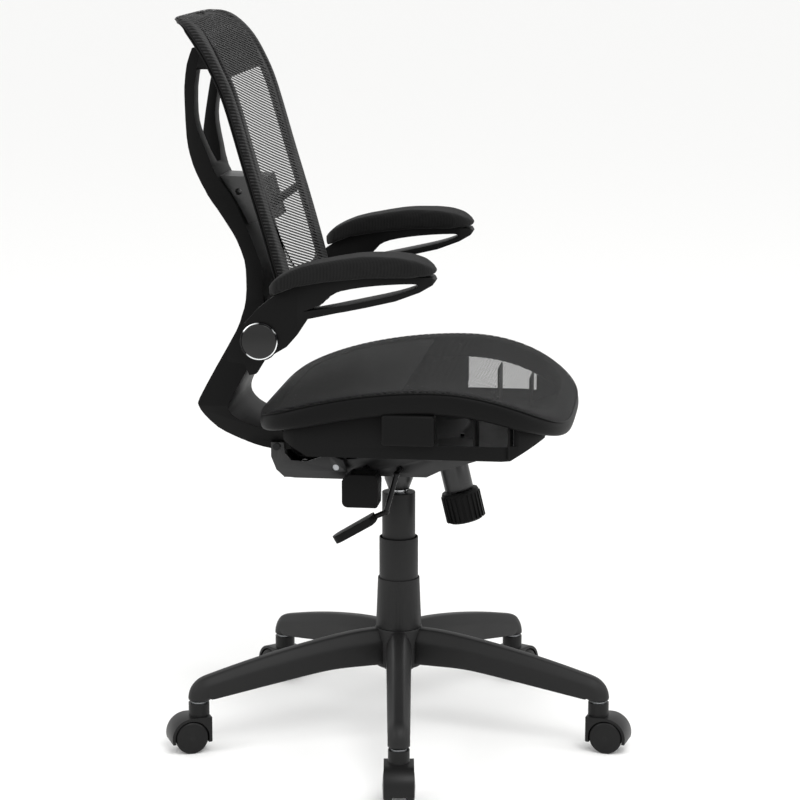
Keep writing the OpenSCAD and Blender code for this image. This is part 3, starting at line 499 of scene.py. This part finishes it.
def weave(name, thread, dark, axes, turn, pitch, rows, hole, rough=0.62, hem=9.0):
    """Knitted mesh: threads `pitch` by `rows` mm apart, turned by `turn`, with open cells between them.
    The real threads are about 1 mm apart, which would vanish, so they are drawn several times as coarse."""
    made, tree, shader = blank(name)
    shader.inputs["Specular IOR Level"].default_value = 0.1
    shader.inputs["Sheen Weight"].default_value = 0.03
    shader.inputs["Sheen Roughness"].default_value = 0.5
    shader.inputs["Roughness"].default_value = rough
    place = add(tree, "TexCoord").outputs["Object"]
    wobble = add(tree, "TexNoise", {"Scale": 22.0, "Detail": 2.0}, Vector=place)
    laid = add(tree, "Mapping", {"Rotation": turn}, Vector=place)
    parts = add(tree, "SeparateXYZ", Vector=laid.outputs[0])
    waves = []
    for axis, step in zip(axes, (pitch, rows)):
        stray = add(tree, "Math", {"operation": "MULTIPLY", 1: 1.2}, i0=wobble.outputs["Fac"])
        phase = add(tree, "Math", {"operation": "MULTIPLY_ADD", 1: 2000 * math.pi / step},
                    i0=parts.outputs[axis], i2=stray.outputs[0])
        waves.append(add(tree, "Math", {"operation": "COSINE"}, i0=phase.outputs[0]))
    twill = add(tree, "Math", {"operation": "MULTIPLY_ADD", 1: 0.4, 2: 0.6}, i0=waves[0].outputs[0])
    cell = add(tree, "Math", {"operation": "MULTIPLY"}, i0=twill.outputs[0], i1=waves[1].outputs[0])
    thread_height = add(tree, "MapRange", {"From Min": -0.6, "From Max": hole, "To Min": 1.0, "To Max": 0.0},
                        Value=cell.outputs[0])
    solid = add(tree, "MapRange", {"From Min": hole - 0.08, "From Max": hole + 0.08, "To Min": 1.0,
                                   "To Max": 0.04}, Value=cell.outputs[0])
    # beyond the hem the cloth is knitted close and shows no cells
    sideways = add(tree, "SeparateXYZ", Vector=place)
    inside = add(tree, "Math", {"operation": "ABSOLUTE"}, i0=sideways.outputs["Y"])
    close = add(tree, "MapRange", {"From Min": hem, "From Max": hem + 0.003}, Value=inside.outputs[0])
    solid = add(tree, "Math", {"operation": "MAXIMUM"}, i0=solid.outputs[0], i1=close.outputs[0])
    tone = add(tree, "Mix", {"data_type": "RGBA", 6: linear(dark), 7: linear(thread)},
               i0=thread_height.outputs[0])
    tree.links.new(tone.outputs[2], shader.inputs["Base Color"])
    tree.links.new(solid.outputs[0], shader.inputs["Alpha"])
    bump = add(tree, "Bump", {"Strength": 0.5, "Distance": 0.0006}, Height=thread_height.outputs[0])
    tree.links.new(bump.outputs[0], shader.inputs["Normal"])
    return made


seat_net = weave("seat_elastomer_mesh", "#262626", "#080808", "XY", (0, 0, math.radians(38)), 4.4, 6.4, 0.12)
stretch = [(0.0030, 0.0030), (0.0042, 0.0016), (0.0065, 0.0005), (0.010, 0.0),
           (0.018, 0.0), (0.030, 0.0004), (0.050, 0.0012), (0.080, 0.0022), (0.115, 0.003), (0.150, 0.0034),
           (0.180, 0.0036), (0.205, 0.0036)]


def net(name, rings, thick):
    """A skin of rings from the edge inwards, its middle filled, given the cloth's thickness."""
    skin = loft(name, rings)
    bpy.ops.object.mode_set(mode="EDIT")
    bpy.ops.mesh.select_all(action="DESELECT")
    cloth = bmesh.from_edit_mesh(skin.data)
    for face in [f for f in cloth.faces if len(f.verts) > 4]:
        face.select = True
    bmesh.update_edit_mesh(skin.data)
    bpy.ops.mesh.delete(type="ONLY_FACE")
    bpy.ops.mesh.select_all(action="DESELECT")
    cloth = bmesh.from_edit_mesh(skin.data)
    cloth.verts.ensure_lookup_table()
    inner = {v.index for v in cloth.verts[-len(rings[0]):]}
    for edge in cloth.edges:
        edge.select = edge.is_boundary and all(v.index in inner for v in edge.verts)
    bmesh.update_edit_mesh(skin.data)
    bpy.ops.mesh.fill_grid()
    bpy.ops.mesh.select_all(action="SELECT")
    bpy.ops.mesh.normals_make_consistent(inside=False)
    bpy.ops.object.mode_set(mode="OBJECT")
    if sum((f.normal.z + f.normal.x) * f.area for f in skin.data.polygons) < 0:
        bpy.ops.object.mode_set(mode="EDIT")
        bpy.ops.mesh.select_all(action="SELECT")
        bpy.ops.mesh.flip_normals()
        bpy.ops.object.mode_set(mode="OBJECT")
    wall = skin.modifiers.new("wall", "SOLIDIFY")
    wall.thickness, wall.offset = thick, -1
    bpy.ops.object.modifier_apply(modifier="wall")
    bpy.ops.object.shade_smooth_by_angle(angle=math.radians(50))
    return skin


seat_skin = net("seat_mesh_cloth", [seat_loop(i, d) for i, d in stretch], 0.0001)
seat_skin.data.materials.clear()
seat_skin.data.materials.append(seat_net)
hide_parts("seat_mesh")
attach(seat_skin, "seat")
# A near-black sheet under the rear of the mesh: a lining, and painted shade seen through the holes.
bpy.ops.object.select_all(action="DESELECT")
bpy.ops.mesh.primitive_grid_add(x_subdivisions=24, y_subdivisions=24, size=2)
lining_and_painted_shade = bpy.context.active_object
lining_and_painted_shade.name = "seat_lining_and_painted_shade"
for vert in lining_and_painted_shade.data.vertices:
    x = SEAT_LOW.x + 0.016 + (0.014 - SEAT_LOW.x) * (vert.co.x + 1) / 2
    back_off = (0.040 - x) / (0.040 - SEAT_LOW.x)
    across = (SEAT_HIGH.y - 0.022) * (1 - back_off ** 5.4) ** (1 / 5.4)
    vert.co = (x, vert.co.y * across, saddle(x) - 0.0055)
wall = lining_and_painted_shade.modifiers.new("wall", "SOLIDIFY")
wall.thickness = 0.0008
bpy.ops.object.modifier_apply(modifier="wall")
lining_and_painted_shade.data.materials.append(shell_black)
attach(lining_and_painted_shade, "seat")
seam = bead("seat_piping", seat_loop(0.0026, 0.0034), 0.0010)
seam.data.materials.append(shell_black)
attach(seam, "seat")


# ---- back bracket and spine ----------------------------------------------------------------------
# A folded steel bracket reclines on the seat plate's pin and is bolted through the spine's foot.
# The spine is one deep polypropylene moulding that forks into two uprights and has wings for the arms.
finished("back_bracket", painted_steel, 0.0008)
finished("back_bolts", bolt_steel)
finished("spine_frame", shell_black, 0.005)
finished("upper_mounts", shell_black, 0.001)
finished("lumbar_bracket", grey_abs, 0.004)


# ---- back rim ------------------------------------------------------------------------------------
# A thin polypropylene hoop with a solid headband, curled back at the top, and a cross bar at the
# lumbar. It is carried by the spine's uprights and by the lumbar bracket.
BACK_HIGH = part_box("back_mesh")[1]
profile = [(-0.129, 0.272), (-0.158, 0.380), (-0.187, 0.478), (-0.215, 0.574), (-0.233, 0.618),
           (-0.255, 0.656), (-0.281, 0.684), (-0.306, 0.692), (-0.326, 0.689)]
SEAT_MECHANISM_Z = 0.416
fine = []
for k in range(len(profile) - 1):
    a, b, c, d = (profile[min(max(k + j, 0), len(profile) - 1)] for j in (-1, 0, 1, 2))
    for i in range(20):
        t = i / 20
        fine.append(tuple(0.5 * (2 * q + (r - p) * t + (2 * p - 5 * q + 4 * r - s) * t * t
                                 + (3 * q - p - 3 * r + s) * t ** 3) for p, q, r, s in zip(a, b, c, d)))
fine.append(profile[-1])
reach_up = [0.0]
for p, q in zip(fine, fine[1:]):
    reach_up.append(reach_up[-1] + math.dist(p, q))
BACK_LONG, HALF = reach_up[-1], BACK_HIGH.y


def on_back(y, s, depth):
    """The point at height s along the back's front face, that deep behind it."""
    s = min(max(s, 0), BACK_LONG)
    k = min(max(next((i for i, r in enumerate(reach_up) if r > s), len(fine) - 1), 1), len(fine) - 1)
    (x0, z0), (x1, z1) = fine[k - 1], fine[k]
    t = (s - reach_up[k - 1]) / (reach_up[k] - reach_up[k - 1])
    run = math.hypot(x1 - x0, z1 - z0)
    return (x0 + (x1 - x0) * t - (z1 - z0) / run * depth, y,
            SEAT_MECHANISM_Z + z0 + (z1 - z0) * t + (x1 - x0) / run * depth)


def back_loop(inset, depth, count=140):
    """A loop round the back, that far in from its edge and behind its front face."""
    dense = []
    for cy, cs, ry, rs, start in ((HALF - 0.040, 0.040, 0.040, 0.040, -90),
                                  (HALF - 0.152, BACK_LONG - 0.110, 0.152, 0.110, 0),
                                  (-HALF + 0.152, BACK_LONG - 0.110, 0.152, 0.110, 90),
                                  (-HALF + 0.040, 0.040, 0.040, 0.040, 180)):
        for k in range(31):
            turn = math.radians(start + 3 * k)
            dense.append((cy + (ry - inset) * math.cos(turn), cs + (rs - inset) * math.sin(turn)))
    return [on_back(y, s, depth * min(1, 0.3 + (BACK_LONG - s) / 0.07)) for y, s in evenly(dense, count)]


sleeve = [(0.026, 0.0030), (0.012, 0.0026), (0.005, 0.0032), (0.0020, 0.0052), (0.0010, 0.0085),
          (0.0016, 0.0125), (0.0045, 0.0152), (0.0100, 0.0160), (0.020, 0.0158), (0.0275, 0.0140),
          (0.0295, 0.0090), (0.0285, 0.0050), (0.026, 0.0030)]
back_rim = smoothed(loft("back_rim", [back_loop(i, d) for i, d in sleeve], closed=True), 1)


def slab(name, s_from, s_to, inset, near, far, rows, cols=30):
    """A flat moulding between two heights of the back, as wide as the frame there."""
    bpy.ops.object.select_all(action="DESELECT")
    bpy.ops.mesh.primitive_grid_add(x_subdivisions=cols, y_subdivisions=rows, size=2)
    piece = bpy.context.active_object
    piece.name = name
    for vert in piece.data.vertices:
        s = s_from + (s_to - s_from) * (vert.co.y + 1) / 2
        over = max(0, (s - BACK_LONG + 0.110) / 0.110)
        wide = HALF - 0.152 + 0.152 * math.sqrt(max(0, 1 - over * over)) - inset
        vert.co = on_back(vert.co.x * wide, s, near * min(1, 0.3 + (BACK_LONG - s) / 0.07))
    wall = piece.modifiers.new("wall", "SOLIDIFY")
    wall.thickness, wall.offset = far - near, -1
    bpy.ops.object.modifier_apply(modifier="wall")
    edge = piece.modifiers.new("edge", "BEVEL")
    edge.width, edge.segments, edge.limit_method = 0.0015, 2, "ANGLE"
    bpy.ops.object.modifier_apply(modifier="edge")
    bpy.ops.object.shade_smooth_by_angle(angle=math.radians(50))
    return piece


headband = slab("headband", 0.350, BACK_LONG - 0.004, 0.006, 0.0030, 0.0120, 20)
crossbar = slab("crossbar", 0.148, 0.158, 0.004, 0.0034, 0.0155, 4)
back_hoop = joined("back_hoop", [back_rim, headband, crossbar])
back_hoop.data.materials.clear()
back_hoop.data.materials.append(shell_black)
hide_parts("back_frame")
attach(back_hoop, "back")


# ---- back mesh -----------------------------------------------------------------------------------
# The same mesh is a sleeve drawn over the back rim, close-knit down both sides, with two lines of
# piping round its edge.
tuck = [(0.0006, 0.0090), (0.0004, 0.0062), (0.0014, 0.0030), (0.0034, 0.0012), (0.0065, 0.0003), (0.012, 0.0),
        (0.022, 0.0), (0.040, 0.0004), (0.065, 0.0010), (0.095, 0.0016), (0.125, 0.0020), (0.150, 0.0022)]
back_net = weave("back_elastomer_mesh", "#2a2a2a", "#060606", "YZ", (math.radians(12), 0, 0), 4.6, 4.6,
                 0.16, hem=0.134)


def back_ring(inset, depth):
    """The inner rings pull in more slowly at the corners, so they never cross."""
    return back_loop(min(inset, 0.036), depth) if inset < 0.036 else [
        on_back(y, s, depth) for y, s in evenly([
            ((HALF - inset) * math.copysign(abs(math.cos(t)) ** 0.4, math.cos(t)),
             BACK_LONG / 2 + (BACK_LONG / 2 - inset) * math.copysign(abs(math.sin(t)) ** 0.4, math.sin(t)))
            for t in [-math.pi / 2 + math.pi * k / 300 for k in range(600)]], 140)]


back_skin = net("back_mesh_cloth", [back_ring(i, d) for i, d in tuck], 0.0001)
back_skin.data.materials.clear()
back_skin.data.materials.append(back_net)
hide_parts("back_mesh")
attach(back_skin, "back")
piping = joined("back_piping", [bead("piping", back_loop(0.0004, 0.0096), 0.0013),
                                bead("piping_rear", back_loop(0.0014, 0.0138), 0.0012)])
piping.data.materials.append(shell_black)
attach(piping, "back")


# ---- arm frames ----------------------------------------------------------------------------------
# Each arm is one polypropylene loop that turns up on a zinc-plated steel pin in the spine's wing.
finished("arm_pins", zinc_steel)
finished("right_arm_frame", shell_black, 0.004)
finished("left_arm_frame", shell_black, 0.004)


# ---- arm pads ------------------------------------------------------------------------------------
# Foam in a tight sleeve of black air mesh, lying along the arm's top bar.
def swollen(node, name):
    """A closed pad from the CAD solid, blown up a little by cloth pressure and capped."""
    pad = unfaceted(node, name)
    edge = pad.modifiers.new("edge", "BEVEL")
    edge.width, edge.segments, edge.limit_method, edge.angle_limit = 0.0065, 3, "ANGLE", math.radians(40)
    bpy.ops.object.modifier_apply(modifier="edge")
    voxels = pad.modifiers.new("voxels", "REMESH")
    voxels.mode, voxels.voxel_size = "VOXEL", 0.004
    bpy.ops.object.modifier_apply(modifier="voxels")
    rest = [v.co.copy() for v in pad.data.vertices]
    cloth = pad.modifiers.new("foam", "CLOTH")
    cloth.settings.use_pressure, cloth.settings.uniform_pressure_force = True, 4
    cloth.settings.effector_weights.gravity = 0
    for number in range(1, 21):
        bpy.context.scene.frame_set(number)
    bpy.ops.object.modifier_apply(modifier="foam")
    bpy.context.scene.frame_set(1)
    for vert, home in zip(pad.data.vertices, rest):
        push = vert.co - home
        most = 0.0025
        if push.length > most:
            push *= most / push.length
        vert.co = home + push
    smooth = pad.modifiers.new("even", "SMOOTH")
    smooth.factor, smooth.iterations = 0.6, 4
    bpy.ops.object.modifier_apply(modifier="even")
    return smoothed(pad, 1, 80)


sleeve_cloth = weave("arm_pad_air_mesh", "#161616", "#060606", "XY", (0, 0, math.radians(45)), 3.2, 3.2,
                     2.0, 0.8)
for side in ("right", "left"):
    pad = swollen(side + "_arm_pad", side + "_arm_pad_cover")
    pad.data.materials.clear()
    pad.data.materials.append(sleeve_cloth)
    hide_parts(side + "_arm_pad")
    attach(pad, rides_on[side + "_arm_pad"])


# ---- arm pivots ----------------------------------------------------------------------------------
# A polished black cap covers the end of each arm's pin, inside a thin chromed ring of plated ABS.
# The ring's colour is a painted reflection: noise paints it near black along some of its length and near white
# along the rest, standing in for the dark arm and the room.
gloss_black = moulded("polished_abs", "#121212", "#1c1c1c", 0.16, depth=0.03)
chrome = metal("chrome_plate", "#a4a6a8", 0.12)
# Painted reflection: the chrome's base colour is painted dark and bright in patches.
painted_reflection_noise = add(chrome.node_tree, "TexNoise", {"Scale": 38.0, "Detail": 1.0},
                Vector=add(chrome.node_tree, "TexCoord").outputs["Object"])
painted_reflection_mask = add(chrome.node_tree, "MapRange", {"From Min": 0.46, "From Max": 0.54},
               Value=painted_reflection_noise.outputs["Fac"])
plate = add(chrome.node_tree, "Mix", {"data_type": "RGBA", 6: linear("#1c1c1d"), 7: linear("#eceeef")},
            i0=painted_reflection_mask.outputs[0])
chrome.node_tree.links.new(plate.outputs[2], chrome.node_tree.nodes["Principled BSDF"].inputs["Base Color"])
for side in ("right", "left"):
    low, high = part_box(side + "_chrome_ring")
    cap_low, cap_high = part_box(side + "_pivot_cap")
    across = (high.x - low.x) / 2
    bpy.ops.object.select_all(action="DESELECT")
    bpy.ops.mesh.primitive_torus_add(location=(low + high) / 2, rotation=(math.pi / 2, 0, 0),
                                     major_segments=96, minor_segments=12,
                                     major_radius=across - 0.0013, minor_radius=0.0013)
    bpy.ops.object.transform_apply(location=True, rotation=True, scale=True)
    bpy.ops.object.shade_smooth()
    ring = bpy.context.active_object
    ring.name = side + "_trim_ring"
    bpy.ops.object.select_all(action="DESELECT")
    bpy.ops.mesh.primitive_cylinder_add(vertices=96, radius=across - 0.0022, depth=cap_high.y - cap_low.y,
                                        location=(cap_low + cap_high) / 2, rotation=(math.pi / 2, 0, 0))
    bpy.ops.object.transform_apply(location=True, rotation=True, scale=True)
    cap = bpy.context.active_object
    cap.name = side + "_polished_cap"
    edge = cap.modifiers.new("edge", "BEVEL")
    edge.width, edge.segments, edge.limit_method = 0.0012, 3, "ANGLE"
    bpy.ops.object.modifier_apply(modifier="edge")
    bpy.ops.object.shade_smooth_by_angle(angle=math.radians(40))
    for made, node, coat in ((ring, side + "_chrome_ring", chrome), (cap, side + "_pivot_cap", gloss_black)):
        made.data.materials.append(coat)
        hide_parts(node)
        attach(made, rides_on[node])


# ---- casters -------------------------------------------------------------------------------------
# Five hooded twin-wheel casters in nylon. Each hood turns on its steel stem, and its two wheels run
# on an axle behind the stem.
caster_nylon = moulded("caster_nylon", "#0c0c0c", "#181818", 0.38, shine=0.2)
for k in range(1, 6):
    finished(f"caster{k}_housing", caster_nylon, 0.002)
    finished(f"caster{k}_wheel_a", caster_nylon)
    finished(f"caster{k}_wheel_b", caster_nylon)


# ---- overall size --------------------------------------------------------------------------------
# The box round all the shown pieces, the floor left out.
low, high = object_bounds()
